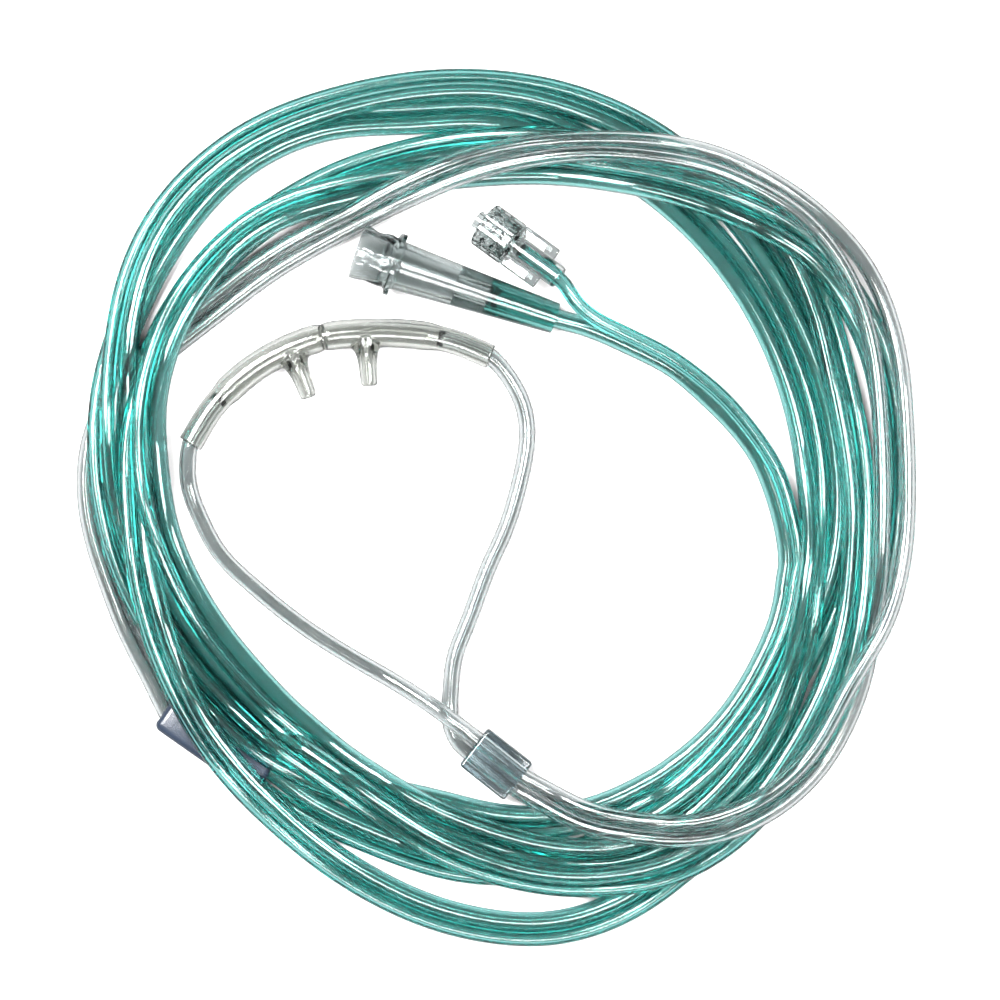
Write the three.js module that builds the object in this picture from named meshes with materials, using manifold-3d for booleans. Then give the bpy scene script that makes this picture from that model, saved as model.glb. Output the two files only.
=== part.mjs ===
// Carbon dioxide sampling nasal cannula, coiled as it comes out of its bag.
// Millimetres, +Z up. The origin is on the floor, under the middle of the coil.
import * as THREE from 'three';
import { mergeVertices } from 'three/addons/utils/BufferGeometryUtils.js';
import Module from 'manifold-3d';

const wasm = await Module();
wasm.setup();

// Tubing
const oxygenTubeDiameter = 4.2;
const samplingTubeDiameter = 3.2;
const clearTubeDiameter = 3.6;
const fitClearance = 0.3;
const tubeSides = 8;
const tubeStep = 4.6;

// Nasal piece
const nasalDiameter = 6.2;
const nasalEndDiameter = 5.3;
const nasalEndLength = 12;
const nasalWallThickness = 1.4;
const nasalSocketDepth = 7;
const nasalSides = 12;
const nasalSteps = 24;
const prongLength = 8.2;
const prongBaseDiameter = 4.4;
const prongTipDiameter = 3.5;
const prongBoreDiameter = 2.3;
const prongFlareDiameter = 6;
const prongFlareLength = 2;
const prongSides = 20;
const prongs = [
  { place: 0.408, heading: -68.7 },
  { place: 0.629, heading: -85.8 },
];
const dividerPlace = 0.505;
const nasalBearing = 170.1;
const nasalInset = 4.3;
const nasalRoute = [
  [0, 0], [4.9, 7.9], [11.5, 14.5], [19.2, 19.4], [27.9, 22.6], [40.2, 23.6], [50.9, 22.8], [56.6, 21.5], [63.8, 18.5],
];

// Chin slider
const sliderLength = 12;
const sliderWidth = 9.9;
const sliderHeight = 7.4;
const sliderCornerRadius = 1.2;
const sliderBoreSpread = 3.2;
const sliderBoreRise = 2.24;
const sliderBearing = -86.4;
const sliderInset = 9.2;
const sliderHeading = -38.3;
const sliderTravel = 2;
const boreSides = 16;

// Coil of tubing
const coilOuterRadius = 90.9;
const coilInnerRadius = 66.5;
const coilHeight = 11.5;
const coilCorner = 3;
const coilWidthShare = 0.978;
const coilDepthShare = 1.022;
const coilHoleCentre = [-3.6, 2.6];
const coilEntry = 17;
const coilTurns = 5;
const coilTurnDepth = 0.9;
const coilSegments = 64;

// Junction of the clear and the green tubes
const junctionLength = 26;
const junctionWidth = 9.5;
const junctionHeight = 5.5;
const junctionCornerRadius = 1.6;
const junctionSocketDepth = 8;
const junctionSocketSpread = 4.3;
const junctionBearing = 220.3;
const junctionInset = 0.9;
const junctionHeading = -35;

// Oxygen connector, from its mouth to its tail
const oxygenBearing = 116.7;
const oxygenInset = 9.1;
const oxygenHeading = -18.4;
const oxygenPitch = -5.6;
const bellRadius = 5.5;
const bellMouthRadius = 4.8;
const bellLength = 7.8;
const flangeRadius = 6.8;
const flangeThickness = 1.2;
const bodyRadius = 5.2;
const bodyEnd = 29.2;
const bodyEndRadius = 4.1;
const tailEnd = 44.4;
const tailEndRadius = 3.3;
const funnelRadius = 3.8;
const funnelEndRadius = 3.2;
const funnelEnd = 22.1;
const throatRadius = 1.6;
const connectorSides = 32;

// Luer lock fitting, from its tip to its barrel's end
const luerBearing = 90.4;
const luerInset = 8.1;
const luerTipHeight = 4.85;
const luerHeading = -36.1;
const luerPitch = 8.9;
const luerTipRadius = 2.0;
const luerTipRootRadius = 2.2;
const luerBoreRadius = 1.2;
const collarStart = 1.9;
const collarFloor = 7.6;
const collarEnd = 9.6;
const collarRadius = 5;
const collarWall = 1;
const barrelRadius = 2.45;
const barrelEnd = 21.8;
const barrelSocketStart = 10.5;
const wingEnd = 18.5;
const wingThickness = 1.2;
const luerSides = 28;

// Derived sizes
const radians = THREE.MathUtils.degToRad;
const clearRadius = clearTubeDiameter / 2;
const oxygenRadius = oxygenTubeDiameter / 2;
const samplingRadius = samplingTubeDiameter / 2;
const socketRadius = clearRadius + fitClearance;
const nasalRadius = nasalDiameter / 2;

// A point inside the coil, at a bearing from the middle of its hole and a distance in from its inner wall
function inCoil(bearing, inset) {
  const distance = coilInnerRadius - inset;
  return [
    coilHoleCentre[0] + distance * Math.cos(radians(bearing)),
    coilHoleCentre[1] + distance * Math.sin(radians(bearing)),
  ];
}

const nasalStart = inCoil(nasalBearing, nasalInset);
const oxygenMouthHeight = flangeRadius - (bellLength + flangeThickness / 2) * Math.sin(radians(oxygenPitch));
const oxygenStart = [...inCoil(oxygenBearing, oxygenInset), oxygenMouthHeight];
const luerStart = [...inCoil(luerBearing, luerInset), luerTipHeight];
const junctionRadius = (coilOuterRadius + coilInnerRadius) / 2 - junctionInset;
const junctionCentre = [
  junctionRadius * Math.cos(radians(junctionBearing)),
  junctionRadius * Math.sin(radians(junctionBearing)),
];

const colours = {
  nasal: [0xdfe3dc, 0.3],
  clear: [0xd4dada, 0.25],
  green: [0x2d8c7d, 0.25],
  slider: [0x8fa9b0, 0.4],
  junction: [0x343b8c, 0.4],
};

function material([color, roughness]) {
  return new THREE.MeshStandardMaterial({ color, roughness, metalness: 0 });
}

// Solids that are joined or cut
function toSolid(geometry) {
  const bare = geometry.clone();
  bare.deleteAttribute('normal');
  bare.deleteAttribute('uv');
  const merged = mergeVertices(bare, 1e-4);
  return new wasm.Manifold(new wasm.Mesh({
    numProp: 3,
    vertProperties: new Float32Array(merged.attributes.position.array),
    triVerts: new Uint32Array(merged.index.array),
  }));
}

function toGeometry(solid) {
  const mesh = solid.getMesh();
  const geometry = new THREE.BufferGeometry();
  geometry.setAttribute('position', new THREE.BufferAttribute(mesh.vertProperties, 3));
  geometry.setIndex(new THREE.BufferAttribute(mesh.triVerts, 1));
  geometry.computeVertexNormals();
  return geometry;
}

function join(geometries) {
  return geometries.map(toSolid).reduce((whole, piece) => whole.add(piece));
}

function cut(whole, tools) {
  return tools.map(toSolid).reduce((rest, tool) => rest.subtract(tool), whole);
}

// Shapes
function disc(radius, sides) {
  const points = [];
  for (let i = 0; i < sides; i += 1) {
    const angle = (2 * Math.PI * i) / sides;
    points.push(new THREE.Vector2(radius * Math.cos(angle), radius * Math.sin(angle)));
  }
  return new THREE.Shape(points);
}

function roundedRectangle(width, height, radius) {
  const shape = new THREE.Shape();
  const x = width / 2 - radius;
  const y = height / 2 - radius;
  shape.absarc(x, y, radius, 0, Math.PI / 2);
  shape.absarc(-x, y, radius, Math.PI / 2, Math.PI);
  shape.absarc(-x, -y, radius, Math.PI, 1.5 * Math.PI);
  shape.absarc(x, -y, radius, 1.5 * Math.PI, 2 * Math.PI);
  return shape;
}

function sweep(path, radius, sides, steps) {
  return new THREE.ExtrudeGeometry(disc(radius, sides), { steps, bevelEnabled: false, extrudePath: path });
}

function lathe(profile, sides) {
  return new THREE.LatheGeometry(profile.map(([r, y]) => new THREE.Vector2(r, y)), sides);
}

function curve(points) {
  return new THREE.CatmullRomCurve3(points.map(([x, y, z]) => new THREE.Vector3(x, y, z)), false, 'centripetal');
}

// A point at a distance along a straight line that starts at a place, with a heading and a pitch in degrees
function along(start, heading, pitch, distance) {
  const flat = distance * Math.cos(radians(pitch));
  return [
    start[0] + flat * Math.cos(radians(heading)),
    start[1] + flat * Math.sin(radians(heading)),
    start[2] + distance * Math.sin(radians(pitch)),
  ];
}

// Lays a mesh, whose own axis is +Y, along a heading and a pitch
function aim(mesh, start, heading, pitch) {
  mesh.position.set(start[0], start[1], start[2]);
  mesh.rotation.order = 'ZXY';
  mesh.rotation.set(radians(pitch), 0, radians(heading - 90));
  return mesh;
}

function named(name, geometry, look) {
  const mesh = new THREE.Mesh(geometry, material(look));
  mesh.name = name;
  return mesh;
}

// Nasal piece: a soft tube with a wall across its middle and two open prongs
const nasalCurve = curve(nasalRoute.map(([x, y]) => [nasalStart[0] + x, nasalStart[1] + y, nasalRadius]));
const nasalLength = nasalCurve.getLength();

function nasalStretch(from, to, count, overshoot) {
  const points = [];
  for (let i = 0; i <= count; i += 1) {
    points.push(nasalCurve.getPointAt(from + ((to - from) * i) / count));
  }
  if (overshoot < 0) points.unshift(nasalCurve.getPointAt(from).addScaledVector(nasalCurve.getTangentAt(from), -1));
  if (overshoot > 0) points.push(nasalCurve.getPointAt(to).addScaledVector(nasalCurve.getTangentAt(to), 1));
  return new THREE.CatmullRomCurve3(points, false, 'centripetal');
}

function prongPiece(prong, radiusAtBody, radiusAtTip, length) {
  const root = nasalCurve.getPointAt(prong.place);
  const geometry = new THREE.CylinderGeometry(radiusAtTip, radiusAtBody, length, prongSides);
  geometry.translate(0, length / 2, 0);
  geometry.rotateZ(radians(prong.heading - 90));
  geometry.translate(root.x, root.y, root.z);
  return geometry;
}

function nasalPiece() {
  const endShare = nasalEndLength / nasalLength;
  const wallShare = nasalWallThickness / nasalLength / 2;
  const reach = nasalRadius + prongLength;
  const outer = join([
    sweep(nasalCurve, nasalEndDiameter / 2, nasalSides, nasalSteps),
    sweep(nasalStretch(endShare, 1 - endShare, 20, 0), nasalRadius, nasalSides, nasalSteps),
    ...prongs.map((prong) => prongPiece(prong, prongBaseDiameter / 2, prongTipDiameter / 2, reach)),
    ...prongs.map((prong) => prongPiece(
      prong, prongFlareDiameter / 2, prongBaseDiameter / 2, nasalRadius + prongFlareLength,
    )),
  ]);
  const hollow = [
    sweep(nasalStretch(0, dividerPlace - wallShare, 14, -1), socketRadius, nasalSides, nasalSteps),
    sweep(nasalStretch(dividerPlace + wallShare, 1, 14, 1), socketRadius, nasalSides, nasalSteps),
    ...prongs.map((prong) => prongPiece(prong, prongBoreDiameter / 2, prongBoreDiameter / 2, reach + 1)),
  ];
  return named('nasal_piece', toGeometry(cut(outer, hollow)), colours.nasal);
}

// The two bores of the slider, as straight lines that the clear tubes follow
const sliderMiddle = [...inCoil(sliderBearing, sliderInset), sliderHeight / 2];

function sliderBore(side, distance) {
  const across = along(sliderMiddle, sliderHeading + 90, 0, (side * sliderBoreSpread) / 2);
  across[2] += (side * sliderBoreRise) / 2;
  return along(across, sliderHeading, 0, distance);
}

// Clear tubes, from the nasal piece through the slider into the coil
function socketStart(atEnd) {
  const share = nasalSocketDepth / nasalLength;
  const places = atEnd ? [1 - share, 1 - share / 2, 1] : [share, share / 2, 0];
  return places.map((place) => nasalCurve.getPointAt(place).toArray());
}

const straightStart = -(sliderLength / 2 + sliderTravel + fitClearance);
const floorClear = clearRadius + 0.05;

function sliderRun(side) {
  const distances = [straightStart, straightStart / 2, 0, -straightStart / 2, sliderLength, coilEntry];
  return distances.map((distance) => sliderBore(side, distance));
}

const leftClearRoute = [
  ...socketStart(false),
  [-65.5, 8.6, 2.6], [-65.2, 4.0, floorClear], [-63.6, -0.7, floorClear], [-58.9, -9.7, floorClear],
  [-50.6, -17.8, floorClear], [-41.3, -25.2, floorClear], [-31.7, -31.4, floorClear],
  [-22.1, -36.9, 2.4], [-16.5, -40.3, 4.4], [-12.6, -42.9, 5.7], [-9.5, -45.2, 5.9],
  ...sliderRun(1),
];
const rightClearRoute = [
  ...socketStart(true),
  [2.3, 28.0, 2.6], [5.6, 21.8, floorClear], [6.6, 15.6, floorClear], [5.7, 8.2, floorClear],
  [2.3, -4.1, floorClear], [-1.7, -13.1, floorClear], [-5.7, -23.9, floorClear], [-8.8, -32.0, floorClear],
  [-9.6, -38.6, floorClear], [-9.8, -44.0, floorClear], [-9.2, -48.2, 2.2],
  ...sliderRun(-1),
];

// Green tubes, from the coil to their connectors
const oxygenTubeHeight = oxygenRadius + 0.05;
const samplingTubeHeight = 5.6;
const oxygenTubeRoute = [
  ...[bodyEnd + 1, tailEnd - 6, tailEnd].map((s) => along(oxygenStart, oxygenHeading, oxygenPitch, s)),
  [19.4, 38.1, 2.45], [28.7, 34.1, oxygenTubeHeight], [37.2, 29.7, oxygenTubeHeight],
  [43.2, 24.8, oxygenTubeHeight], [51.3, 16.7, oxygenTubeHeight], [56.0, 10.1, oxygenTubeHeight],
  [...inCoil(-1.7, 3.2), oxygenTubeHeight], [...inCoil(-9.4, 0.3), oxygenTubeHeight],
  [...inCoil(-13.4, -0.8), oxygenTubeHeight],
];
const samplingTubeRoute = [
  ...[barrelSocketStart + 1, barrelEnd - 4, barrelEnd].map((s) => along(luerStart, luerHeading, luerPitch, s)),
  [16.6, 43.7, 7.7], [20.2, 40.3, 6.3], [26.0, 37.3, 5.65], [36.2, 32.2, samplingTubeHeight],
  [43.4, 27.1, samplingTubeHeight], [48.5, 22.6, samplingTubeHeight], [54.6, 15.4, samplingTubeHeight],
  [59.3, 8.0, samplingTubeHeight], [...inCoil(-1.6, 1.1), samplingTubeHeight],
  [...inCoil(-9.0, -1.6), samplingTubeHeight], [...inCoil(-13.0, -2.9), samplingTubeHeight],
];

function tubeSteps(route) {
  return Math.round(route.getLength() / tubeStep);
}

function tube(name, points, radius, look) {
  const route = curve(points);
  return named(name, sweep(route, radius, tubeSides, tubeSteps(route)), look);
}

// The room that a tube needs where it runs into the coil
function tubeRoom(points, radius) {
  const route = curve(points);
  const end = route.getPointAt(1).addScaledVector(route.getTangentAt(1), fitClearance);
  const roomRoute = curve([...points, end.toArray()]);
  return sweep(roomRoute, radius + fitClearance, tubeSides, 2 * tubeSteps(route));
}

// Slider: a block that two tubes pass through
function slider() {
  const section = roundedRectangle(sliderWidth, sliderHeight, sliderCornerRadius);
  const block = new THREE.ExtrudeGeometry(section, { depth: sliderLength, bevelEnabled: false, curveSegments: 4 });
  block.rotateX(-Math.PI / 2);
  block.rotateY(Math.PI);
  block.translate(0, -sliderLength / 2, 0);
  const bores = [-1, 1].map((side) => {
    const bore = new THREE.CylinderGeometry(socketRadius, socketRadius, 2 * sliderLength, boreSides);
    return bore.translate((-side * sliderBoreSpread) / 2, 0, (side * sliderBoreRise) / 2);
  });
  const geometry = toGeometry(cut(join([block]), bores));
  return aim(named('slider', geometry, colours.slider), sliderMiddle, sliderHeading, 0);
}

// Junction: the block that joins the two clear tubes to the two green ones
function junctionBlock() {
  const outline = roundedRectangle(junctionLength, junctionWidth, junctionCornerRadius);
  const block = new THREE.ExtrudeGeometry(outline, { depth: junctionHeight, bevelEnabled: false, curveSegments: 4 });
  const sockets = [];
  const ends = [[-1, [clearRadius, clearRadius]], [1, [oxygenRadius, samplingRadius]]];
  for (const [end, radii] of ends) {
    radii.forEach((radius, i) => {
      const socket = new THREE.CylinderGeometry(radius, radius, 2 * junctionSocketDepth, boreSides);
      socket.rotateZ(Math.PI / 2);
      const y = (i - 0.5) * junctionSocketSpread;
      sockets.push(socket.translate((end * junctionLength) / 2, y, junctionHeight / 2));
    });
  }
  const mesh = named('junction_block', toGeometry(cut(join([block]), sockets)), colours.junction);
  mesh.position.set(junctionCentre[0], junctionCentre[1], 0);
  mesh.rotation.z = radians(junctionHeading);
  return mesh;
}

// Coil: the wound turns as one ring, with ridges where the turns lie side by side
function coilProfile() {
  const points = [[0, 0], [coilOuterRadius - coilCorner, 0], [coilOuterRadius, coilCorner]];
  points.push([coilOuterRadius, coilHeight - coilCorner]);
  const start = coilOuterRadius - coilCorner;
  const pitch = (start - coilInnerRadius) / coilTurns;
  for (let turn = 0; turn < coilTurns; turn += 1) {
    points.push([start - turn * pitch, coilHeight - (turn ? coilTurnDepth : 0)]);
    points.push([start - (turn + 0.5) * pitch, coilHeight]);
  }
  points.push([coilInnerRadius, coilHeight - coilTurnDepth]);
  points.push([0, coilHeight - coilTurnDepth]);
  return points;
}

function coilHole() {
  const radius = coilInnerRadius;
  const profile = [
    [0, -1], [radius, -1], [radius, coilHeight - coilCorner],
    [radius + coilCorner, coilHeight], [radius + coilCorner, coilHeight + 1], [0, coilHeight + 1],
  ];
  const hole = lathe(profile, coilSegments).rotateX(Math.PI / 2);
  return hole.translate(coilHoleCentre[0], coilHoleCentre[1], 0);
}

function junctionRoom() {
  const room = new THREE.BoxGeometry(
    junctionLength + 2 * fitClearance, junctionWidth + 2 * fitClearance, 2 * (junctionHeight + fitClearance),
  );
  return room.rotateZ(radians(junctionHeading)).translate(junctionCentre[0], junctionCentre[1], 0);
}

function tubingCoil() {
  const ring = lathe(coilProfile(), coilSegments).rotateX(Math.PI / 2);
  ring.scale(coilWidthShare, coilDepthShare, 1);
  const room = [
    coilHole(), junctionRoom(),
    tubeRoom(leftClearRoute, clearRadius), tubeRoom(rightClearRoute, clearRadius),
    tubeRoom(oxygenTubeRoute, oxygenRadius), tubeRoom(samplingTubeRoute, samplingRadius),
  ];
  return named('tubing_coil', toGeometry(cut(join([ring]), room)), colours.green);
}

// Oxygen connector: a bell mouth, a flange, and a body that narrows to the tube's socket
function oxygenConnector() {
  const flangeEnd = bellLength + flangeThickness;
  const tubeSocket = oxygenRadius + fitClearance;
  const profile = [
    [bellMouthRadius, 0], [bellRadius, 0], [bellRadius, bellLength], [flangeRadius, bellLength],
    [flangeRadius, flangeEnd], [bodyRadius, flangeEnd], [bodyEndRadius, bodyEnd], [tailEndRadius, tailEnd],
    [tubeSocket, tailEnd], [tubeSocket, bodyEnd], [throatRadius, bodyEnd], [throatRadius, funnelEnd],
    [funnelEndRadius, funnelEnd], [funnelRadius, flangeEnd], [bellMouthRadius, bellLength / 2],
    [bellMouthRadius, 0],
  ];
  const mesh = named('o2_connector', lathe(profile, connectorSides), colours.clear);
  return aim(mesh, oxygenStart, oxygenHeading, oxygenPitch);
}

// Luer lock fitting: a tapered tip inside a threaded collar, then a barrel between two grip wings
function luerFitting() {
  const outer = lathe([
    [0, 0], [luerTipRadius, 0], [luerTipRootRadius, collarFloor], [collarRadius - collarWall, collarFloor],
    [collarRadius - collarWall, collarStart], [collarRadius, collarStart], [collarRadius, collarEnd],
    [barrelRadius, collarEnd], [barrelRadius, barrelEnd], [0, barrelEnd],
  ], luerSides);
  const wingStart = (collarFloor + collarEnd) / 2;
  const wings = new THREE.BoxGeometry(2 * collarRadius, wingEnd - wingStart, wingThickness);
  wings.translate(0, (wingEnd + wingStart) / 2, 0);
  const socket = samplingRadius + fitClearance;
  const bore = lathe([
    [0, -1], [luerBoreRadius, -1], [luerBoreRadius, barrelSocketStart], [socket, barrelSocketStart],
    [socket, barrelEnd + 1], [0, barrelEnd + 1],
  ], luerSides);
  const geometry = toGeometry(cut(join([outer, wings]), [bore]));
  return aim(named('luer_fitting', geometry, colours.clear), luerStart, luerHeading, luerPitch);
}

const cannula = new THREE.Group();
cannula.add(
  nasalPiece(),
  tube('left_lariat_tube', leftClearRoute, clearRadius, colours.clear),
  tube('right_lariat_tube', rightClearRoute, clearRadius, colours.clear),
  slider(),
  tubingCoil(),
  junctionBlock(),
  tube('o2_tail_tube', oxygenTubeRoute, oxygenRadius, colours.green),
  tube('co2_tail_tube', samplingTubeRoute, samplingRadius, colours.green),
  oxygenConnector(),
  luerFitting(),
);

export default cannula;
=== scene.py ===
"""Carbon dioxide sampling nasal cannula, coiled as it comes out of its bag.

Lengths are in millimetres and angles in degrees until a mesh is made, where MM turns them into metres.
+Z is up.
"""

import math

import bpy
import numpy as np
from mathutils import Matrix, Vector


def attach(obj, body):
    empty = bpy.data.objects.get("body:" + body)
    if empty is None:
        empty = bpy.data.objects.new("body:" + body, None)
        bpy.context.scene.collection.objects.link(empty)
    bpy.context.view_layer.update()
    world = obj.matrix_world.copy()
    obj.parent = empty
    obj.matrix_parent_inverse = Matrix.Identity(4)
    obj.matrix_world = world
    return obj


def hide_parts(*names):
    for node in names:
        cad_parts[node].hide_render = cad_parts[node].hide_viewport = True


MM = 0.001

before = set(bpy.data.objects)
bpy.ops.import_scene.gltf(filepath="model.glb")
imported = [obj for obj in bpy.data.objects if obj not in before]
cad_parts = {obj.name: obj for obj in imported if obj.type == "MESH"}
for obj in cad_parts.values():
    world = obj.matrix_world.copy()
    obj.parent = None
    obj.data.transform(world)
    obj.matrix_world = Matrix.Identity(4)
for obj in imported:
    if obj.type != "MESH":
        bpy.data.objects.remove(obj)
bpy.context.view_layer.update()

# Camera, straight above the coil
CAMERA_PLACE = (0.85, 1.38, 1200)
CAMERA_LENS = 203

# Floor
FLOOR_REACH = 3000
FLOOR_GAP = 0.05

# Tubing: each green tube's shift is how far it lies from the middle of the pair
OXYGEN_RADIUS = 2.1
OXYGEN_BORE = 1.45
SAMPLING_RADIUS = 1.6
SAMPLING_BORE = 0.75
CLEAR_RADIUS = 1.8
CLEAR_BORE = 1.15
OXYGEN_SHIFT = -1.6
SAMPLING_SHIFT = 2.1
PATH_STEP = 4
MESH_STEP = 2

# Turns of the green pair: the bearing from the coil's centre and the radius to the middle of the pair
TURN_CENTRE = (-0.2, 0.3)
TURN_1 = [
    (235, 75.4), (250, 75.3), (268, 77.2), (290, 76.2), (310, 74.9), (330, 73.0), (350, 74.5), (370, 74.9),
    (390, 76.6), (410, 80.9), (430, 85.7), (450, 88.9), (470, 91.5), (487, 94.1), (500, 93.2), (510, 89.4),
    (520, 84.7), (530, 80.9), (540, 78.5), (550, 75.5), (560, 72.3), (570, 69.8), (580, 67.9),
]
TURN_2 = [
    (590, 67.0), (600, 67.0), (610, 69.1), (620, 73.0), (630, 76.8), (645, 82.5), (657, 85.8), (668, 85.6),
    (680, 83.0), (700, 80.0), (715, 77.3), (730, 76.6), (741, 77.6), (752, 81.2), (768, 85.0), (780, 82.6),
    (795, 78.6), (815, 76.5), (840, 77.0), (865, 79.0), (885, 78.0), (905, 75.9), (925, 76.5), (940, 78.1),
]
TURN_3 = [
    (955, 80.4), (970, 84.3), (985, 88.6), (1000, 90.9), (1010, 88.9), (1020, 85.2), (1035, 84.6),
    (1055, 83.1), (1075, 83.8), (1090, 85.5), (1105, 87.7), (1118, 86.2), (1130, 81.3), (1145, 76.0),
    (1160, 72.8), (1180, 71.3), (1192, 72.8), (1210, 78.1), (1225, 78.8), (1240, 77.2), (1260, 72.3),
    (1280, 66.6), (1296, 63.4),
]
TURN_4 = [
    (1312, 63.2), (1330, 64.9), (1345, 69.0), (1362, 75.8), (1378, 79.6), (1390, 77.9), (1405, 74.2),
    (1425, 69.0), (1445, 67.9), (1470, 69.4), (1490, 72.6), (1507, 76.4), (1530, 83.0), (1542, 84.2),
    (1555, 89.2), (1568, 90.9), (1580, 89.4), (1600, 86.0), (1620, 81.9), (1640, 76.6), (1655, 72.9),
    (1668, 70.3),
]
TURN_5 = [
    (1680, 68.1), (1690, 65.7), (1700, 65.3), (1710, 67.0), (1732, 68.9), (1750, 67.9), (1770, 66.2),
    (1780, 65.4), (1786, 64.4),
]
# Where the pair twists, so that the sampling tube comes to lie on the oxygen tube
TWIST_START = 1725
TWIST_END = 1760
TWIST = 59

# Turn of the clear pair
CLEAR_TURN = [
    (279.6, 63.0), (286, 69.4), (292, 73.6), (303, 81.9), (311, 85.2), (321, 87.0), (332, 85.5), (350, 84.9),
    (362, 84.8), (372, 86.1), (382, 89.0), (392, 91.4), (402, 90.9), (415, 87.0), (430, 80.4), (450, 73.6),
    (465, 69.6), (478, 68.2), (492, 69.9), (503, 72.8), (512, 77.0), (520, 81.9), (527, 84.8), (535, 85.6),
    (542, 84.6), (552, 82.0), (562, 81.0),
]
# How far each clear tube lies from the middle of the pair, and where the pair lies wider or changes sides
CLEAR_SPREAD = 1.8
CLEAR_WIDE_SPREAD = 2.65
WIDE_START = 345
WIDE_END = 405
SWAP_START = 325
SWAP_END = 352

# Order of the layers, from the floor up: the bearing where each layer starts
GREEN_LAYERS = [(0, 1), (420, 2.5), (590, 4), (720, 3), (950, 3), (1080, 4), (1310, 2), (1670, 0)]
CLEAR_LAYERS = [(0, 6), (482, -1)]
TWIST_LAYER = 2.6
PAIR_STEP = 0.2
HELD_FROM = 1740

# How the tubes settle on each other
LIFT = 0.05
STACK_ROUNDS = 24
STACK_REACH = PATH_STEP / 2 + 5
PUSH_REACH = PATH_STEP / 2 + 6
OWN_NEIGHBOURS = 4
PAIR_BLOCK = 400
PAIRING_EVERY = 10
FALL = 0.03
SIDEWAYS_SHARE = 0.5
RAMP_LENGTH = 9
RAMP_WIDTH = 3
SMOOTHING_ROUNDS = 2

# Nasal piece
NASAL_RADIUS = 3.1
NASAL_END_RADIUS = 2.65
NASAL_END_LENGTH = 12
NASAL_BORE = 2.1
NASAL_SOCKET_DEPTH = 12
NASAL_STEP = 0.5
NASAL_ROUTE = [
    (-64.9, 13.3), (-60.0, 21.2), (-53.4, 27.8), (-45.7, 32.7), (-37.0, 35.9), (-24.7, 36.9), (-14.0, 36.1),
    (-8.3, 34.8), (-1.1, 31.8),
]
DIVIDER_PLACE = 0.505
DIVIDER_THICKNESS = 1.4
GROOVE_DEPTH = 0.35
GROOVE_WIDTH = 0.8
PRONGS = [(0.408, -68.7), (0.629, -85.8)]
PRONG_LENGTH = 8.2
PRONG_BASE_RADIUS = 2.2
PRONG_TIP_RADIUS = 1.75
PRONG_BORE = 1.15
PRONG_FILLET = 0.9
PRONG_FILLET_REACH = 1.1
PRONG_TIP_ROUNDING = (0.08, 0.35)
NASAL_VOXEL = 0.24
NASAL_SMOOTHING = 6

# Chin slider
SLIDER_CENTRE = (0, -54.6)
SLIDER_HEADING = -38.3
SLIDER_SIZE = (12, 9.9, 7.4)
SLIDER_CORNER = 0.6
BORE_SPREAD = 1.6
BORE_RISE = 1.12
BORE_GAP = 0.06
SLIDER_STOPS = (-8.3, -4, 0, 4, 7)

# Junction
JUNCTION_CENTRE = (-59.4, -50.3)
JUNCTION_HEADING = -35
JUNCTION_SIZE = (26, 9.5, 5.5)
JUNCTION_CORNER = 1.6
SOCKET_SHIFT = 2.15
SOCKET_DEPTH = 8
SOCKET_GAP = 0.04

# Routes of the tubes where they aren't coiled
LEFT_ROUTE = [
    (-65.5, 8.6, 2.6), (-65.2, 4.0, 1.85), (-63.6, -0.7, 1.85), (-58.9, -9.7, 1.85), (-50.6, -17.8, 1.85),
    (-41.3, -25.2, 1.85), (-31.7, -31.4, 1.85), (-22.1, -36.9, 2.4), (-16.5, -40.3, 4.4), (-12.6, -42.9, 5.7),
    (-9.5, -45.2, 5.9),
]
RIGHT_ROUTE = [
    (2.3, 28.0, 2.6), (5.6, 21.8, 1.85), (6.6, 15.6, 1.85), (5.7, 8.2, 1.85), (2.3, -4.1, 1.85),
    (-1.7, -13.1, 1.85), (-5.7, -23.9, 1.85), (-8.8, -32.0, 1.85), (-9.6, -38.6, 1.85), (-9.8, -44.0, 1.85),
    (-9.2, -48.2, 2.2),
]
OXYGEN_TAIL = [
    (61.9, -13.0, 2.15), (61.7, -8.2, 2.15), (59.7, 0.7, 2.15), (56.0, 10.1, 2.15), (51.3, 16.7, 2.15),
    (43.2, 24.8, 2.15), (37.2, 29.7, 2.15), (28.7, 34.1, 2.15), (19.4, 38.1, 2.45),
]
SAMPLING_TAIL = [
    (64.0, -13.0, 5.3), (63.7, -8.0, 5.3), (61.8, 0.8, 5.3), (59.3, 8.0, 5.3), (54.6, 15.4, 5.3),
    (48.5, 22.6, 5.3), (43.4, 27.1, 5.3), (36.2, 32.2, 5.3), (26.0, 37.3, 5.45), (20.2, 40.3, 6.3),
    (16.6, 43.7, 7.7),
]

# Oxygen connector, from its mouth
OXYGEN_MOUTH = (-29.4, 53.9, 7.62)
OXYGEN_HEADING = -18.4
OXYGEN_PITCH = -5.6
BELL_RADIUS = 5.4
BELL_MOUTH_RADIUS = 4.8
BELL_LENGTH = 7.8
FLANGE_RADIUS = 6.75
FLANGE_THICKNESS = 0.9
BODY_RADIUS = 5.2
BODY_END = 29.2
BODY_END_RADIUS = 4.1
TAIL_END = 44.4
TAIL_END_RADIUS = 3.3
FUNNEL_RADIUS = 3.8
FUNNEL_END_RADIUS = 3.2
FUNNEL_END = 22.1
THROAT_RADIUS = 1.6
TUBE_GAP = 0.05
FLUTES = 9
FLUTE_DEPTH = 0.14
MOUTH_FLARE = 0.35
MOUTH_FLARE_LENGTH = 3.5
FLANGE_WAVE = 0.3
MENISCUS_RISE = 1.2
MENISCUS_DEPTH = 1.1

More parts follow.
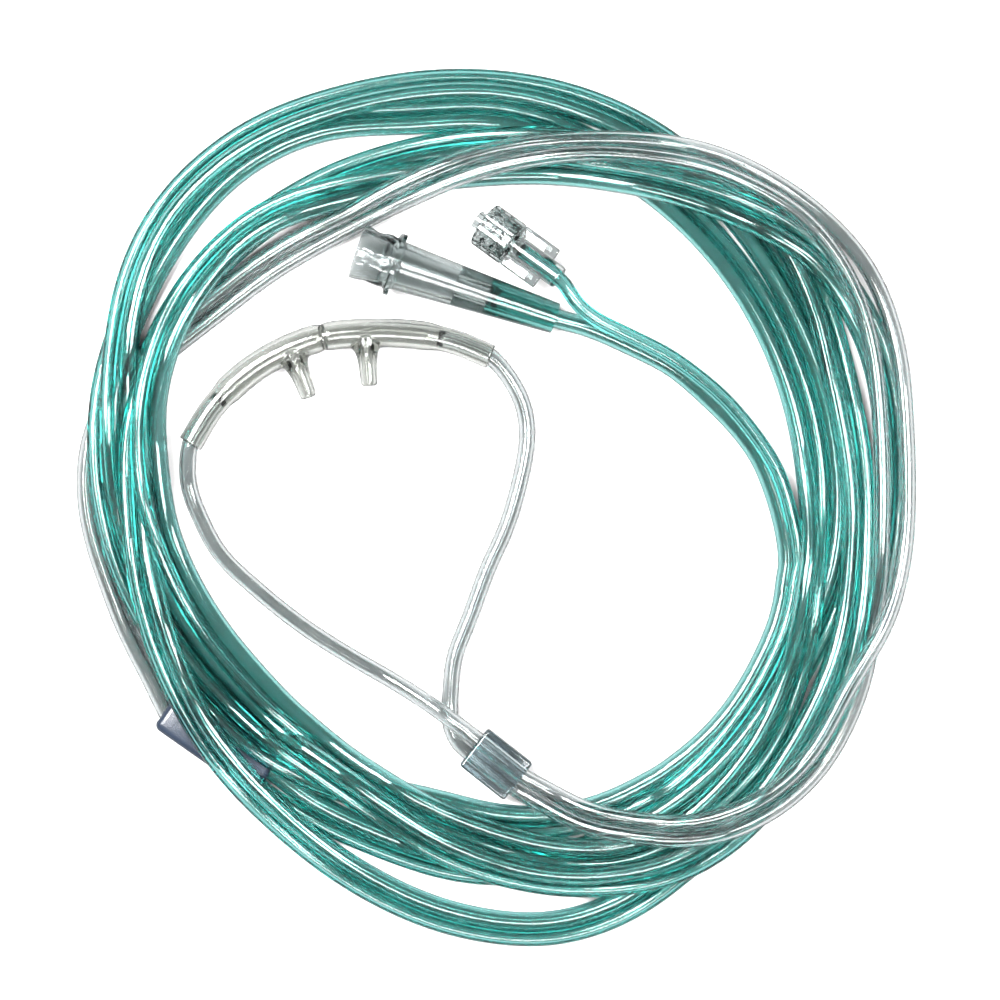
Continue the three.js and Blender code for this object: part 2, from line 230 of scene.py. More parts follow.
# Luer lock fitting, from its tip
LUER_TIP = (-4.0, 61.0, 4.85)
LUER_HEADING = -36.1
LUER_PITCH = 8.9
TIP_RADIUS = 2.0
TIP_ROOT_RADIUS = 2.2
TIP_BORE = 1.2
COLLAR_START = 1.9
COLLAR_FLOOR = 7.6
COLLAR_END = 9.6
COLLAR_RADIUS = 4.9
COLLAR_INNER_RADIUS = 4.0
THREAD_DEPTH = 0.45
THREAD_PITCH = 2.5
RIBS = 16
RIB_HEIGHT = 0.12
BARREL_RADIUS = 2.45
BARREL_SOCKET = 10.5
BARREL_END = 21.8
WING_END = 18.5
WING_THICKNESS = 1.2
WING_CORNER = 0.35


# Paths
def evenly(points, step):
    """The points of a line at even distances, close to the step."""
    lengths = np.concatenate([[0], np.cumsum(np.linalg.norm(np.diff(points, axis=0), axis=1))])
    count = max(2, round(lengths[-1] / step) + 1)
    places = np.linspace(0, lengths[-1], count)
    return np.stack([np.interp(places, lengths, points[:, axis]) for axis in range(points.shape[1])], axis=1)


def curve(points, step):
    """A centripetal Catmull-Rom curve through the points."""
    points = np.asarray(points, float)
    first = 2 * points[0] - points[1]
    last = 2 * points[-1] - points[-2]
    padded = np.vstack([first, points, last])
    fine = []
    for i in range(1, len(padded) - 2):
        a, b, c, d = padded[i - 1:i + 3]
        gaps = [max(np.linalg.norm(end - start), 1e-6) for start, end in ((a, b), (b, c), (c, d))]
        knots = np.cumsum([0] + [gap ** 0.5 for gap in gaps])
        for t in np.linspace(knots[1], knots[2], 12, endpoint=False):
            fine.append(spline_point((a, b, c, d), knots, t))
    fine.append(points[-1])
    return evenly(np.array(fine), step)


def spline_point(points, knots, t):
    """The point at t by repeated interpolation between four points."""
    level = list(points)
    for gap in (1, 2, 3):
        spans = range(len(level) - 1) if gap < 3 else [0]
        following = []
        for i in spans:
            low = knots[i] if gap < 3 else knots[1]
            high = knots[i + gap] if gap < 3 else knots[2]
            share = (t - low) / (high - low)
            following.append(level[i] + (level[i + 1] - level[i]) * share)
        level = following
    return level[0]


def along(start, heading, pitch, distance):
    """A point at a distance along a straight line."""
    flat = distance * math.cos(math.radians(pitch))
    return (
        start[0] + flat * math.cos(math.radians(heading)),
        start[1] + flat * math.sin(math.radians(heading)),
        start[2] + distance * math.sin(math.radians(pitch)),
    )


def ease(value, start, end):
    """0 before the start, 1 after the end and a smooth climb between them."""
    share = np.clip((value - start) / (end - start), 0, 1)
    return share * share * (3 - 2 * share)


def turn_points(anchors, shift):
    """Points round the coil, with their bearings.

    Shift gives how far out of the middle of the pair a tube lies at a bearing.
    """
    bearings = np.array([bearing for bearing, _ in anchors], float)
    radii = np.array([radius for _, radius in anchors], float)
    middle = radii.mean()
    count = round(math.radians(bearings[-1] - bearings[0]) * middle / PATH_STEP)
    places = np.linspace(bearings[0], bearings[-1], count)
    radius = smooth_values(places, bearings, radii) + shift(places)
    x = TURN_CENTRE[0] + radius * np.cos(np.radians(places))
    y = TURN_CENTRE[1] + radius * np.sin(np.radians(places))
    return np.stack([x, y], axis=1), places


def smooth_values(places, knots, values):
    """Cubic interpolation with the slope at each knot taken from its two neighbours."""
    slopes = np.gradient(values, knots)
    index = np.clip(np.searchsorted(knots, places) - 1, 0, len(knots) - 2)
    width = knots[index + 1] - knots[index]
    t = (places - knots[index]) / width
    return (
        (2 * t ** 3 - 3 * t ** 2 + 1) * values[index]
        + (t ** 3 - 2 * t ** 2 + t) * width * slopes[index]
        + (3 * t ** 2 - 2 * t ** 3) * values[index + 1]
        + (t ** 3 - t ** 2) * width * slopes[index + 1]
    )


def layer_at(bearings, layers):
    """The layer that a turn lies in at each bearing."""
    starts = np.array([start for start, _ in layers])
    ranks = np.array([rank for _, rank in layers], float)
    return ranks[np.searchsorted(starts, bearings, side="right") - 1]


def socket_point(side, end, distance):
    """A point in one of the junction's sockets: the side is across it and the distance is from its middle."""
    centre = (*JUNCTION_CENTRE, JUNCTION_SIZE[2] / 2)
    across = along(centre, JUNCTION_HEADING + 90, 0, side * SOCKET_SHIFT)
    return along(across, JUNCTION_HEADING, 0, end * distance)


def slider_point(side, distance):
    """A point on one of the slider's bores."""
    centre = (*SLIDER_CENTRE, SLIDER_SIZE[2] / 2 + side * BORE_RISE)
    across = along(centre, SLIDER_HEADING + 90, 0, side * BORE_SPREAD)
    return along(across, SLIDER_HEADING, 0, distance)


class Strand:
    """One tube: its points, where they lie in plan, which of them are held, and their layers."""

    def __init__(self, radius):
        self.radius = radius
        self.points = []
        self.held = []
        self.layers = []

    def hold(self, points, layer):
        for point in points:
            self.points.append(tuple(point))
            self.held.append(True)
            self.layers.append(layer)

    def coil(self, points, layers, heights=None):
        """Adds points that settle by themselves, apart from those whose height is given."""
        heights = np.full(len(points), np.nan) if heights is None else heights
        for (x, y), layer, height in zip(points, layers, heights):
            held = not np.isnan(height)
            self.points.append((x, y, height if held else self.radius))
            self.held.append(held)
            self.layers.append(layer)


def green_strand(radius, side, shift, tail, tail_end):
    """A green tube: from the junction through all its turns to its connector."""
    strand = Strand(radius)
    half = JUNCTION_SIZE[0] / 2
    strand.hold([socket_point(side, 1, half - SOCKET_DEPTH + step) for step in (0, 4, 8)], 1)
    anchors = TURN_1 + TURN_2 + TURN_3 + TURN_4 + TURN_5

    def out(bearings):
        twist = math.radians(TWIST) * ease(bearings, TWIST_START, TWIST_END)
        return shift * np.cos(twist)

    places, bearings = turn_points(anchors, out)
    layers = layer_at(bearings, GREEN_LAYERS)
    heights = np.full(len(places), radius + LIFT)
    if shift > 0:
        layers = np.where(bearings > TWIST_START + 10, TWIST_LAYER, layers + PAIR_STEP)
        twist = math.radians(TWIST) * ease(bearings, TWIST_START, TWIST_END)
        heights += (SAMPLING_TAIL[0][2] - heights[0]) * np.sin(twist) / math.sin(math.radians(TWIST))
    strand.coil(places, layers, np.where(bearings > HELD_FROM, heights, np.nan))
    strand.hold(curve(tail + tail_end, PATH_STEP), PAIR_STEP if shift > 0 else 0)
    return strand


def clear_strand(side, start, route):
    """A clear tube: from the nasal piece through the slider and round the coil to the junction."""
    strand = Strand(CLEAR_RADIUS)
    run = [slider_point(side, distance) for distance in SLIDER_STOPS]
    strand.hold(curve(start + route + run, PATH_STEP), 5)

    def out(bearings):
        wide = ease(bearings, WIDE_START, WIDE_START + 10) - ease(bearings, WIDE_END - 15, WIDE_END)
        spread = CLEAR_SPREAD + (CLEAR_WIDE_SPREAD - CLEAR_SPREAD) * wide
        return -side * spread * np.cos(math.pi * ease(bearings, SWAP_START, SWAP_END))

    places, bearings = turn_points(CLEAR_TURN, out)
    strand.coil(places, layer_at(bearings, CLEAR_LAYERS) + PAIR_STEP * side)
    half = JUNCTION_SIZE[0] / 2
    strand.hold([socket_point(-side, -1, half - SOCKET_DEPTH + step) for step in (4, 0)], 0)
    return strand


# Laying the tubes on each other
class Pile:
    """All the strands as arrays, which settle on the floor and on each other."""

    def __init__(self, strands):
        self.strands = strands
        self.points = np.concatenate([np.array(strand.points) for strand in strands])
        self.held = np.concatenate([np.array(strand.held) for strand in strands])
        self.layers = np.concatenate([np.array(strand.layers) for strand in strands])
        self.radii = np.concatenate([np.full(len(strand.points), strand.radius) for strand in strands])
        self.strand = np.concatenate([np.full(len(strand.points), i) for i, strand in enumerate(strands)])
        self.index = np.concatenate([np.arange(len(strand.points)) for strand in strands])
        self.plan = self.points.copy()
        joined = self.strand[1:] == self.strand[:-1]
        self.inner = np.flatnonzero(joined[:-1] & joined[1:]) + 1
        self.segments = np.flatnonzero(joined)

    def floor(self):
        """The lowest that each point may lie. The junction lies under the turns that cross it."""
        centre = np.array(JUNCTION_CENTRE)
        heading = math.radians(JUNCTION_HEADING)
        ahead = np.array([math.cos(heading), math.sin(heading)])
        offset = self.points[:, :2] - centre
        length = np.abs(offset @ ahead)
        width = np.abs(offset @ np.array([-ahead[1], ahead[0]]))
        over = 1 - ease(length, JUNCTION_SIZE[0] / 2, JUNCTION_SIZE[0] / 2 + RAMP_LENGTH)
        over = over * (1 - ease(width, JUNCTION_SIZE[1] / 2, JUNCTION_SIZE[1] / 2 + RAMP_WIDTH))
        return self.radii + JUNCTION_SIZE[2] * over

    def close_pairs(self, reach, flat):
        """Points and the segments near them, apart from a tube's own neighbouring segments."""
        axes = 2 if flat else 3
        middles = (self.points[self.segments] + self.points[self.segments + 1])[:, :axes] / 2
        pairs = []
        for start in range(0, len(self.points), PAIR_BLOCK):
            block = self.points[start:start + PAIR_BLOCK, :axes]
            gaps = np.linalg.norm(block[:, None] - middles[None], axis=2)
            rows, columns = np.nonzero(gaps < reach)
            pairs.append(np.stack([rows + start, self.segments[columns]], axis=1))
        pairs = np.concatenate(pairs)
        same = self.strand[pairs[:, 0]] == self.strand[pairs[:, 1]]
        near = np.abs(self.index[pairs[:, 0]] - self.index[pairs[:, 1]] - 0.5) < OWN_NEIGHBOURS
        return pairs[~(same & near)].T

    def nearest(self, points, segments, flat):
        """Where on its segment each point's nearest place is, and the way from there to the point."""
        start = self.points[segments]
        way = self.points[segments + 1] - start
        offset = self.points[points] - start
        axes = 2 if flat else 3
        share = (offset[:, :axes] * way[:, :axes]).sum(1) / np.maximum((way[:, :axes] ** 2).sum(1), 1e-9)
        share = np.clip(share, 0, 1)
        return share, offset - way * share[:, None]

    def stack(self):
        """Lifts each point onto the layers under it."""
        points, segments = self.close_pairs(STACK_REACH, True)
        upper = self.layers[points] > (self.layers[segments] + self.layers[segments + 1]) / 2
        points, segments = points[upper], segments[upper]
        share, gap = self.nearest(points, segments, True)
        touch = self.radii[points] + self.radii[segments]
        rise = np.sqrt(np.maximum(touch ** 2 - (gap[:, :2] ** 2).sum(1), 0))
        points, segments, share, rise = (values[rise > 0] for values in (points, segments, share, rise))
        floor = self.floor()
        free = ~self.held
        for _ in range(STACK_ROUNDS):
            under = self.points[segments, 2] * (1 - share) + self.points[segments + 1, 2] * share
            height = floor.copy()
            np.maximum.at(height, points, under + rise)
            self.points[free, 2] = height[free]

    def settle(self, rounds, stiffness, anchor):
        """Lets the tubes fall, stay smooth and push each other apart."""
        free = ~self.held
        for turn in range(rounds):
            if turn % PAIRING_EVERY == 0:
                points, segments = self.close_pairs(PUSH_REACH, False)
            moved = self.points - self.plan
            bend = (moved[self.inner - 1] + moved[self.inner + 1]) / 2 - moved[self.inner]
            smooth = np.zeros_like(moved)
            smooth[self.inner] = bend * stiffness
            pull = np.zeros_like(moved)
            pull[:, :2] = -anchor * moved[:, :2]
            pull[:, 2] = -FALL
            self.points += np.where(free[:, None], smooth + pull, 0)
            self.push(points, segments, free)
            low = self.floor()
            self.points[free, 2] = np.maximum(self.points[free, 2], low[free])

    def push(self, points, segments, free):
        """Moves apart the tubes that overlap."""
        share, gap = self.nearest(points, segments, False)
        distance = np.maximum(np.linalg.norm(gap, axis=1), 1e-6)
        touch = self.radii[points] + self.radii[segments]
        overlap = touch - distance
        hit = overlap > 0
        points, segments, share, gap = points[hit], segments[hit], share[hit], gap[hit]
        half = (overlap[hit] / 2)[:, None]
        step = gap / distance[hit][:, None] * half * (SIDEWAYS_SHARE, SIDEWAYS_SHARE, 1)
        shift = np.zeros_like(self.points)
        count = np.zeros(len(self.points))
        whole = np.ones(len(points))
        for index, weight, sign in ((points, whole, 1), (segments, 1 - share, -1), (segments + 1, share, -1)):
            np.add.at(shift, index, sign * step * weight[:, None])
            np.add.at(count, index, weight)
        shift /= np.maximum(count, 1)[:, None]
        self.points += np.where(free[:, None], shift, 0)

    def path(self, number):
        """The points of one strand, with the last small kinks smoothed out where it lies free."""
        points = self.points[self.strand == number]
        free = ~self.held[self.strand == number][1:-1]
        for _ in range(SMOOTHING_ROUNDS):
            middle = (points[:-2] + 2 * points[1:-1] + points[2:]) / 4
            points[1:-1] = np.where(free[:, None], middle, points[1:-1])
        return points


# Meshes
def new_object(name, vertices, faces, material):
    """A smooth-shaded object from points in millimetres."""
    mesh = bpy.data.meshes.new(name)
    mesh.from_pydata([tuple(vertex) for vertex in np.asarray(vertices) * MM], [], faces)
    mesh.update()
    made = bpy.data.objects.new(name, mesh)
    bpy.context.scene.collection.objects.link(made)
    mesh.polygons.foreach_set("use_smooth", [True] * len(mesh.polygons))
    if material:
        mesh.materials.append(material)
    return made


def rings_along(path, radii, sides):
    """Rings of points round a path, turned as little as possible from one to the next."""
    path = np.asarray(path, float)
    tangents = np.gradient(path, axis=0)
    tangents /= np.linalg.norm(tangents, axis=1)[:, None]
    normal = np.cross(tangents[0], (0, 0, 1))
    if np.linalg.norm(normal) < 0.1:
        normal = np.cross(tangents[0], (1, 0, 0))
    angles = np.linspace(0, 2 * math.pi, sides, endpoint=False)
    rings = []
    for point, tangent, radius in zip(path, tangents, radii):
        normal = normal - tangent * normal.dot(tangent)
        normal /= np.linalg.norm(normal)
        other = np.cross(tangent, normal)
        rings.append(point + radius * (np.outer(np.cos(angles), normal) + np.outer(np.sin(angles), other)))
    return np.array(rings)


def skin(rows, columns, first=0, closed=False):
    """Faces that join rows of points that each go round."""
    faces = []
    for row in range(rows if closed else rows - 1):
        here = first + row * columns
        ahead = first + ((row + 1) % rows) * columns
        for column in range(columns):
            beside = (column + 1) % columns
            faces.append((here + column, here + beside, ahead + beside, ahead + column))
    return faces


def hollow_tube(name, path, radius, bore, material, sides=24):
    """A tube with an open bore: out along the outside and back along the inside."""
    outside = rings_along(path, np.full(len(path), radius), sides)
    inside = rings_along(path, np.full(len(path), bore), sides)[::-1]
    rows = np.concatenate([outside, inside])
    return new_object(name, rows.reshape(-1, 3), skin(len(rows), sides, closed=True), material)


def solid_sweep(name, path, radii, sides):
    """A closed rod along a path."""
    rings = rings_along(path, radii, sides)
    count = len(rings)
    vertices = list(rings.reshape(-1, 3)) + [path[0], path[-1]]
    faces = skin(count, sides)
    for column in range(sides):
        beside = (column + 1) % sides
        faces.append((count * sides, beside, column))
        faces.append((count * sides + 1, (count - 1) * sides + column, (count - 1) * sides + beside))
    return new_object(name, vertices, faces, None)


def revolve(name, profile, start, heading, pitch, segments, material, shape=None, step=0.4):
    """A closed outline of (distance, radius) turned round the line from the start. Shape bends each point."""
    loop = []
    for a, b in zip(profile, profile[1:] + profile[:1]):
        count = max(1, round(math.dist(a, b) / step))
        for i in range(count):
            loop.append((a[0] + (b[0] - a[0]) * i / count, a[1] + (b[1] - a[1]) * i / count))
    turn = axis_frame(start, heading, pitch)
    vertices = []
    for distance, radius in loop:
        for i in range(segments):
            angle = 2 * math.pi * i / segments
            place, size = shape(distance, radius, angle) if shape else (distance, radius)
            vertices.append(turn @ Vector((place, size * math.cos(angle), size * math.sin(angle))))
    return new_object(name, vertices, skin(len(loop), segments, closed=True), material)


def axis_frame(start, heading, pitch):
    """A frame whose +X runs along a heading and a pitch."""
    turn = Matrix.Rotation(math.radians(heading), 4, "Z") @ Matrix.Rotation(math.radians(-pitch), 4, "Y")
    return Matrix.Translation(Vector(start)) @ turn


def box(name, size, corner, place, segments=5, material=None):
    """A block with rounded edges, centred on a frame."""
    x, y, z = (length / 2 for length in size)
    vertices = [(i * x, j * y, k * z) for i in (-1, 1) for j in (-1, 1) for k in (-1, 1)]
    faces = [(0, 1, 3, 2), (4, 6, 7, 5), (0, 4, 5, 1), (2, 3, 7, 6), (0, 2, 6, 4), (1, 5, 7, 3)]
    made = new_object(name, vertices, faces, material)
    bevel = made.modifiers.new("edges", "BEVEL")
    bevel.width = corner * MM
    bevel.segments = segments
    bevel.limit_method = "NONE"
    apply(made)
    moved = place.copy()
    moved.translation *= MM
    made.data.transform(moved)
    return made


def apply(made):
    """Makes an object's modifiers final."""
    shaped = made.evaluated_get(bpy.context.evaluated_depsgraph_get())
    mesh = bpy.data.meshes.new_from_object(shaped)
    old = made.data
    made.modifiers.clear()
    made.data = mesh
    bpy.data.meshes.remove(old)
    mesh.polygons.foreach_set("use_smooth", [True] * len(mesh.polygons))


def combine(made, tools, operation):
    """Joins the tools to an object, or cuts them out of it."""
    for tool in tools:
        change = made.modifiers.new("tool", "BOOLEAN")
        change.operation = operation
        change.object = tool
        change.solver = "EXACT"
        apply(made)
        bpy.data.objects.remove(tool)
    return made


def remesh(made, voxel, smoothing):
    """Gives an object an even skin with soft inner corners."""
    change = made.modifiers.new("skin", "REMESH")
    change.mode = "VOXEL"
    change.voxel_size = voxel * MM
    soften = made.modifiers.new("soft", "SMOOTH")
    soften.factor = 0.5
    soften.iterations = smoothing
    apply(made)
    return made


def join(name, parts):
    """Puts several meshes into one object."""
    vertices, faces, materials = [], [], []
    for part in parts:
        first = len(vertices)
        vertices += [tuple(vertex.co) for vertex in part.data.vertices]
        faces += [tuple(first + i for i in polygon.vertices) for polygon in part.data.polygons]
        materials = materials or list(part.data.materials)
    made = new_object(name, np.array(vertices) / MM, faces, materials[0])
    for part in parts:
        bpy.data.objects.remove(part)
    return made


def sharpen(made, angle):
    """Keeps edges crisp where faces meet at more than an angle."""
    made.data.set_sharp_from_angle(angle=math.radians(angle))


# Materials
def plastic(name, colour, deep, transmission, roughness, patch=70, bump=0.06, tint=(1, 1, 1), depth=0):
    """Vinyl or hard plastic that light passes through, with cloudy patches and a slightly uneven skin.

    The tint is the colour that the inside lets through, and the depth is how much of the rest is
    taken out in each millimetre.
    """
    material = bpy.data.materials.new(name)
    material.use_nodes = True
    nodes = material.node_tree.nodes
    link = material.node_tree.links.new
    shader = nodes["Principled BSDF"]
    shader.inputs["Transmission Weight"].default_value = transmission
    shader.inputs["IOR"].default_value = 1.53
    place = nodes.new("ShaderNodeTexCoord")
    cloud = nodes.new("ShaderNodeTexNoise")
    cloud.inputs["Scale"].default_value = patch
    cloud.inputs["Detail"].default_value = 5
    mix = nodes.new("ShaderNodeMix")
    mix.data_type = "RGBA"
    mix.inputs["A"].default_value = (*deep, 1)
    mix.inputs["B"].default_value = (*colour, 1)
    link(place.outputs["Object"], cloud.inputs["Vector"])
    link(cloud.outputs["Fac"], mix.inputs["Factor"])
    link(mix.outputs["Result"], shader.inputs["Base Color"])
    rough = nodes.new("ShaderNodeMapRange")
    rough.inputs["To Min"].default_value = roughness * 0.6
    rough.inputs["To Max"].default_value = roughness * 1.5
    link(cloud.outputs["Fac"], rough.inputs["Value"])
    link(rough.outputs["Result"], shader.inputs["Roughness"])
    grain = nodes.new("ShaderNodeTexNoise")
    grain.inputs["Scale"].default_value = 420
    grain.inputs["Detail"].default_value = 3
    skin_bump = nodes.new("ShaderNodeBump")
    skin_bump.inputs["Strength"].default_value = bump
    skin_bump.inputs["Distance"].default_value = 0.0004
    link(place.outputs["Object"], grain.inputs["Vector"])
    link(grain.outputs["Fac"], skin_bump.inputs["Height"])
    link(skin_bump.outputs["Normal"], shader.inputs["Normal"])
    if depth:
        inside = nodes.new("ShaderNodeVolumeAbsorption")
        inside.inputs["Color"].default_value = (*tint, 1)
        inside.inputs["Density"].default_value = depth / MM
        link(inside.outputs["Volume"], nodes["Material Output"].inputs["Volume"])
    return material


# Camera
camera_data = bpy.data.cameras.new("camera")
camera_data.lens = CAMERA_LENS
camera_data.clip_end = 10
camera = bpy.data.objects.new("camera", camera_data)
camera.location = Vector(CAMERA_PLACE) * MM
bpy.context.scene.collection.objects.link(camera)
bpy.context.scene.camera = camera

green_vinyl = plastic(
    "green vinyl", (0.86, 0.96, 0.95), (0.78, 0.92, 0.9), 1, 0.07,
    bump=0.015, tint=(0.3, 0.83, 0.81), depth=0.74,
)
clear_vinyl = plastic(
    "clear vinyl", (0.96, 0.98, 0.98), (0.9, 0.94, 0.94), 1, 0.07,
    bump=0.01, tint=(0.45, 0.54, 0.56), depth=0.1,
)
soft_vinyl = plastic(
    "soft clear vinyl", (0.96, 0.97, 0.95), (0.91, 0.93, 0.9), 1, 0.1, tint=(0.55, 0.57, 0.5), depth=0.09,
)
cloudy_vinyl = plastic(
    "cloudy vinyl", (0.86, 0.93, 0.95), (0.78, 0.87, 0.9), 1, 0.09,
    bump=0.02, tint=(0.36, 0.47, 0.5), depth=0.12,
)
connector_vinyl = plastic(
    "connector vinyl", (0.95, 0.97, 0.97), (0.88, 0.92, 0.92), 1, 0.12,
    patch=120, tint=(0.45, 0.56, 0.55), depth=0.17,
)
bonded_vinyl = plastic(
    "connector vinyl over green", (0.62, 0.88, 0.86), (0.5, 0.8, 0.77), 1, 0.1,
    tint=(0.3, 0.76, 0.73), depth=0.4,
)
hard_plastic = plastic(
    "hard clear plastic", (0.97, 0.98, 0.98), (0.94, 0.97, 0.97), 1, 0.03,
    bump=0.02, tint=(0.45, 0.6, 0.57), depth=0.12,
)
blue_plastic = plastic("dark blue plastic", (0.04, 0.055, 0.085), (0.02, 0.03, 0.05), 0.4, 0.2)

# Tubes
def in_connector(distance):
    """A point on the oxygen connector's axis."""
    return along(OXYGEN_MOUTH, OXYGEN_HEADING, OXYGEN_PITCH, distance)


def in_fitting(distance):
    """A point on the luer fitting's axis."""
    return along(LUER_TIP, LUER_HEADING, LUER_PITCH, distance)


nasal_curve = curve([(x, y, NASAL_RADIUS) for x, y in NASAL_ROUTE], NASAL_STEP)
socket_indexes = range(0, round(NASAL_SOCKET_DEPTH / NASAL_STEP) + 1, round(PATH_STEP / NASAL_STEP))
nasal_socket = [nasal_curve[i] for i in socket_indexes]
nasal_far_socket = [nasal_curve[-1 - i] for i in socket_indexes]
oxygen_end = [in_connector(distance) for distance in (TAIL_END, TAIL_END - 6, BODY_END + 1)]
luer_end = [in_fitting(distance) for distance in (BARREL_END, BARREL_END - 4, BARREL_SOCKET + 1)]
pile = Pile([
    green_strand(OXYGEN_RADIUS, 1, OXYGEN_SHIFT, OXYGEN_TAIL, oxygen_end),
    green_strand(SAMPLING_RADIUS, -1, SAMPLING_SHIFT, SAMPLING_TAIL, luer_end),
    clear_strand(1, nasal_socket[::-1], LEFT_ROUTE),
    clear_strand(-1, nasal_far_socket[::-1], RIGHT_ROUTE),
])
pile.stack()
pile.settle(200, 0.4, 0.15)
pile.settle(120, 0.2, 0.04)
oxygen_path, sampling_path, left_path, right_path = (curve(pile.path(i), MESH_STEP) for i in range(4))


# Fittings
def nasal_piece():
    """The soft moulding: a tube with a wall across its middle and two open prongs."""
    lengths = np.linspace(0, 1, len(nasal_curve))
    total = NASAL_STEP * (len(nasal_curve) - 1)
    distance = lengths * total
    from_end = np.minimum(distance, total - distance)
    swelling = ease(from_end, NASAL_END_LENGTH - 1, NASAL_END_LENGTH + 3)
    radii = NASAL_END_RADIUS + (NASAL_RADIUS - NASAL_END_RADIUS) * swelling
    groove = np.exp(-((distance - DIVIDER_PLACE * total) / GROOVE_WIDTH) ** 2)
    radii = radii - GROOVE_DEPTH * groove
    body = solid_sweep("nasal_piece", nasal_curve, radii, 48)
    prongs, bores = [], []
    reach = NASAL_RADIUS + PRONG_LENGTH
    for place, heading in PRONGS:
        root = nasal_curve[round(place * (len(nasal_curve) - 1))]
        steps = np.linspace(0, reach, 40)
        path = np.array([along(root, heading, 0, step) for step in steps])
        outward = np.maximum(steps - NASAL_RADIUS, 0)
        width = PRONG_BASE_RADIUS + (PRONG_TIP_RADIUS - PRONG_BASE_RADIUS) * outward / PRONG_LENGTH
        width = width + PRONG_FILLET * np.exp(-outward / PRONG_FILLET_REACH)
        width[-2:] -= PRONG_TIP_ROUNDING
        prongs.append(solid_sweep("prong", path, width, 32))
        bore = np.array([along(root, heading, 0, step) for step in np.linspace(0, reach + 1, 20)])
        bores.append(solid_sweep("bore", bore, np.full(len(bore), PRONG_BORE), 24))
    combine(body, prongs, "UNION")
    remesh(body, NASAL_VOXEL, NASAL_SMOOTHING)
    wall = round(DIVIDER_THICKNESS / 2 / NASAL_STEP)
    middle = round(DIVIDER_PLACE * (len(nasal_curve) - 1))
    first, last = nasal_curve[:middle - wall + 1], nasal_curve[middle + wall:]
    first = np.vstack([2 * first[0] - first[2], first])
    last = np.vstack([last, 2 * last[-1] - last[-3]])
    hollows = [solid_sweep("hollow", half, np.full(len(half), NASAL_BORE), 32) for half in (first, last)]
    combine(body, hollows + bores, "DIFFERENCE")
    body.data.materials.clear()
    body.data.materials.append(soft_vinyl)
    return body


def slider():
    """The cloudy block that grips the two clear tubes."""
    centre = (*SLIDER_CENTRE, SLIDER_SIZE[2] / 2)
    block = box("slider", SLIDER_SIZE, SLIDER_CORNER, axis_frame(centre, SLIDER_HEADING, 0))
    bores = []
    for side in (1, -1):
        path = np.array([slider_point(side, distance) for distance in np.linspace(-9, 9, 10)])
        bores.append(solid_sweep("bore", path, np.full(len(path), CLEAR_RADIUS + BORE_GAP), 32))
    combine(block, bores, "DIFFERENCE")
    block.data.materials.clear()
    block.data.materials.append(cloudy_vinyl)
    sharpen(block, 50)
    return block


def junction_block():
    """The dark block that joins the clear tubes to the green ones."""
    centre = (*JUNCTION_CENTRE, JUNCTION_SIZE[2] / 2)
    block = box("junction_block", JUNCTION_SIZE, JUNCTION_CORNER, axis_frame(centre, JUNCTION_HEADING, 0))
    sockets = []
    half = JUNCTION_SIZE[0] / 2
    for side, end, radius in (
        (1, 1, OXYGEN_RADIUS), (-1, 1, SAMPLING_RADIUS), (1, -1, CLEAR_RADIUS), (-1, -1, CLEAR_RADIUS),
    ):
        path = np.array([socket_point(side, end, half - SOCKET_DEPTH + step) for step in range(0, 11, 2)])
        sockets.append(solid_sweep("socket", path, np.full(len(path), radius + SOCKET_GAP), 24))
    combine(block, sockets, "DIFFERENCE")
    block.data.materials.clear()
    block.data.materials.append(blue_plastic)
    sharpen(block, 50)
    return block


def oxygen_connector():
    """The soft funnel that pushes onto the oxygen outlet."""
    flange_end = BELL_LENGTH + FLANGE_THICKNESS
    profile = [
        (0, BELL_MOUTH_RADIUS), (0, BELL_RADIUS),
        (BELL_LENGTH - 0.6, BELL_RADIUS + 0.1), (BELL_LENGTH, BELL_RADIUS + 0.4),
        (BELL_LENGTH, FLANGE_RADIUS), (flange_end, FLANGE_RADIUS),
        (flange_end, BODY_RADIUS + 0.3), (flange_end + 0.7, BODY_RADIUS),
        (BODY_END, BODY_END_RADIUS), (TAIL_END, TAIL_END_RADIUS),
        (TAIL_END, OXYGEN_RADIUS + TUBE_GAP), (BODY_END, OXYGEN_RADIUS + TUBE_GAP),
        (BODY_END, THROAT_RADIUS), (FUNNEL_END, THROAT_RADIUS),
        (FUNNEL_END, FUNNEL_END_RADIUS), (flange_end, FUNNEL_RADIUS),
        (BELL_LENGTH / 2, BELL_MOUTH_RADIUS),
    ]

    def shape(distance, radius, angle):
        """The bell's soft flutes and flared mouth, and the flange's wavy rim."""
        bell = 1 - ease(distance, BELL_LENGTH - 1.5, BELL_LENGTH)
        crease = math.cos(FLUTES * angle) + 0.6 * math.cos(5 * angle + distance)
        flare = MOUTH_FLARE * (1 - ease(distance, 0, MOUTH_FLARE_LENGTH))
        flute = FLUTE_DEPTH * bell * crease + flare + 0.1 * bell * math.sin(1.3 * distance)
        on_rim = radius > BODY_RADIUS + 0.8 and distance > 2
        if not on_rim:
            return distance, radius + flute
        wave = FLANGE_WAVE * math.sin(2 * angle + 0.7) + 0.12 * math.sin(5 * angle)
        return distance + wave, radius + flute + 0.12 * math.sin(4 * angle)

    made = revolve(
        "o2_connector", profile, OXYGEN_MOUTH, OXYGEN_HEADING, OXYGEN_PITCH, 96, connector_vinyl, shape,
    )
    made.data.materials.append(bonded_vinyl)
    to_axis = axis_frame(OXYGEN_MOUTH, OXYGEN_HEADING, OXYGEN_PITCH).inverted()
    for polygon in made.data.polygons:
        place = to_axis @ (polygon.center / MM)
        share = math.hypot(place.y, place.z) / BODY_END_RADIUS
        meniscus = BODY_END + MENISCUS_RISE - MENISCUS_DEPTH * share ** 2
        if place.x > meniscus:
            polygon.material_index = 1
    sharpen(made, 40)
    return made


